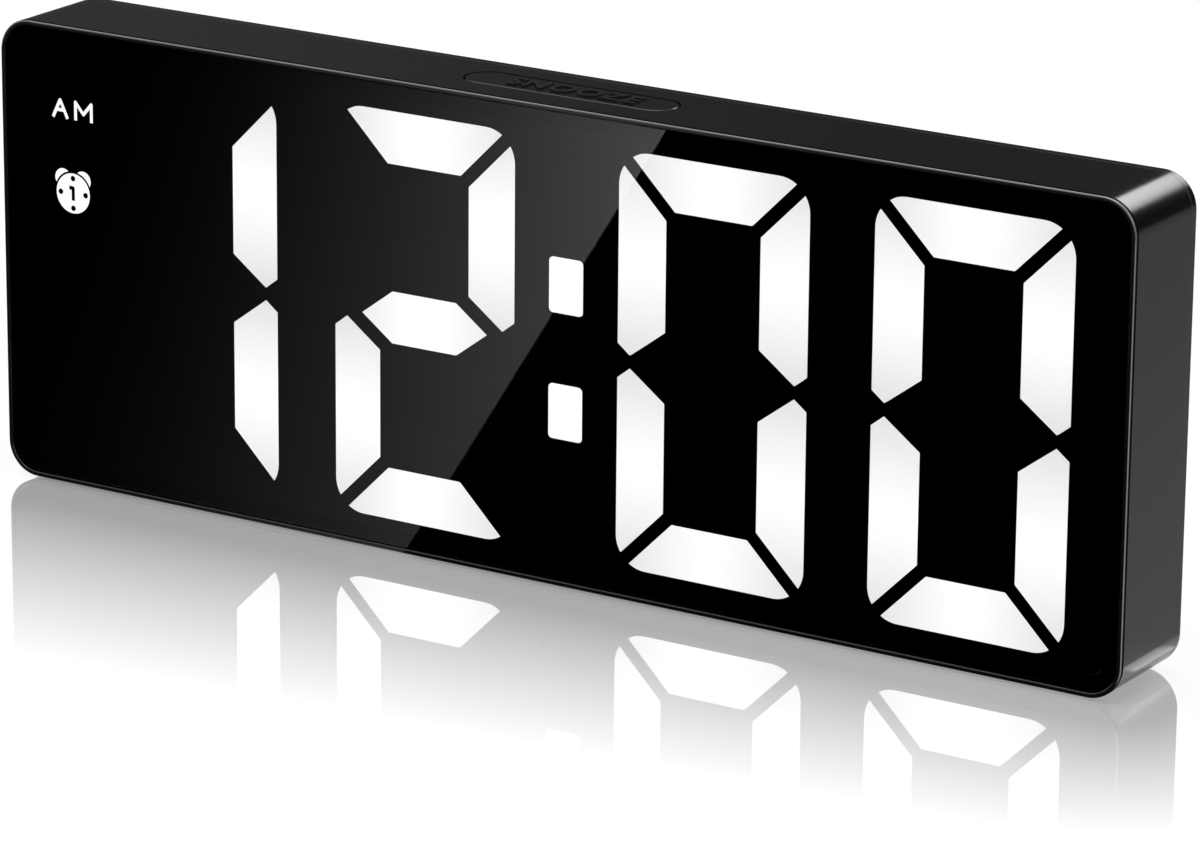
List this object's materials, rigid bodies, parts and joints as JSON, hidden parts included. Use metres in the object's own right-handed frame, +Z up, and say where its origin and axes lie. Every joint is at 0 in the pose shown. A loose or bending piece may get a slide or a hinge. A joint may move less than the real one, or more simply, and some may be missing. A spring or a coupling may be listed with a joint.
{
  "type": "digital alarm clock",
  "caption": "Slim free-standing digital alarm clock: dark lens over its whole front, large white segment digits, flush snooze bar on top, rear keys and a hinged battery door.",
  "frame": {"origin": "on the surface that the clock stands on, under the middle of the case", "axes": "+X to the right seen from the front, +Y to the back, +Z up; the display faces -Y"},
  "size_m": [0.188, 0.0178, 0.0706],
  "materials": {
    "housing_black": "fine satin texture",
    "cover_black": "fine spark-eroded texture",
    "button_black": "fine satin texture",
    "key_black": "satin",
    "lens_smoked": "polished acrylic",
    "tape_black": "foam tape",
    "reflector_black": "matt black face, white cells",
    "segment_lit": "translucent, lit",
    "segment_dark": "tinted, unlit",
    "led_chip": "phosphor window",
    "board_green": "solder mask",
    "chip_black": "moulded epoxy",
    "switch_black": "moulded",
    "plunger_white": "moulded",
    "can_steel": "nickel plated",
    "capacitor_sleeve": "shrink sleeve",
    "screw_steel": "black zinc",
    "contact_nickel": "nickel plated",
    "spring_nickel": "nickel plated",
    "pin_brass": "gold flash",
    "cell_wrap": "printed sleeve, plain",
    "lead_sleeve": "insulation",
    "foot_rubber": "moulded rubber"
  },
  "bodies": {
    "case": {"front_housing": "housing_black", "front_lens": "lens_smoked", "lens_adhesive": "tape_black", "rear_cover": "cover_black", "cover_screws": "screw_steel", "foot_strips": "foot_rubber", "display_reflector": "reflector_black", "colon_dots": "segment_lit", "am_marker": "segment_lit", "alarm_marker": "segment_lit", "pm_marker": "segment_dark", "marker_inlays": "reflector_black", "segment_leds": "led_chip", "main_board": "board_green", "controller_chip": "chip_black", "driver_chip": "chip_black", "timing_crystal": "can_steel", "board_capacitors": "capacitor_sleeve", "buzzer": "switch_black", "board_screws": "screw_steel", "key_board": "board_green", "key_switches": "switch_black", "key_board_screws": "screw_steel", "alarm_switch": "can_steel", "power_inlet": "can_steel", "inlet_tongue": "chip_black", "link_header": "switch_black", "link_pins": "pin_brass", "battery_cells": "can_steel", "battery_wraps": "cell_wrap", "battery_contacts": "contact_nickel", "battery_springs": "spring_nickel", "battery_leads": "lead_sleeve", "snooze_switch": "switch_black", "digit_1_lit": "segment_lit", "digit_1_dark": "segment_dark", "digit_2_lit": "segment_lit", "digit_2_dark": "segment_dark", "digit_3_lit": "segment_lit", "digit_3_dark": "segment_dark", "digit_4_lit": "segment_lit", "digit_4_dark": "segment_dark"},
    "snooze": {"snooze_button": "button_black", "snooze_plunger": "plunger_white"},
    "alarm_slider": {"alarm_switch_knob": "key_black"},
    "door": {"battery_door": "cover_black"},
    "key_time": {"time_key": "key_black", "time_plunger": "plunger_white"},
    "key_alarm": {"alarm_key": "key_black", "alarm_plunger": "plunger_white"},
    "key_plus": {"plus_key": "key_black", "plus_plunger": "plunger_white"},
    "key_minus": {"minus_key": "key_black", "minus_plunger": "plunger_white"}
  },
  "joints": [
    {"name": "snooze_press", "type": "slide", "parent": "case", "child": "snooze", "axis": [0, 0, -1], "range_m": [0, 0.0006], "stiffness_N_per_m": 800},
    {"name": "time_press", "type": "slide", "parent": "case", "child": "key_time", "axis": [0, -1, 0], "range_m": [0, 0.0005], "stiffness_N_per_m": 800},
    {"name": "alarm_press", "type": "slide", "parent": "case", "child": "key_alarm", "axis": [0, -1, 0], "range_m": [0, 0.0005], "stiffness_N_per_m": 800},
    {"name": "plus_press", "type": "slide", "parent": "case", "child": "key_plus", "axis": [0, -1, 0], "range_m": [0, 0.0005], "stiffness_N_per_m": 800},
    {"name": "minus_press", "type": "slide", "parent": "case", "child": "key_minus", "axis": [0, -1, 0], "range_m": [0, 0.0005], "stiffness_N_per_m": 800},
    {"name": "alarm_slide", "type": "slide", "parent": "case", "child": "alarm_slider", "axis": [1, 0, 0], "range_m": [0, 0.002]},
    {"name": "door_hinge", "type": "hinge", "parent": "case", "child": "door", "pos_m": [0, 0.008, 0.01635], "axis": [-1, 0, 0], "range_deg": [0, 95]}
  ]
}
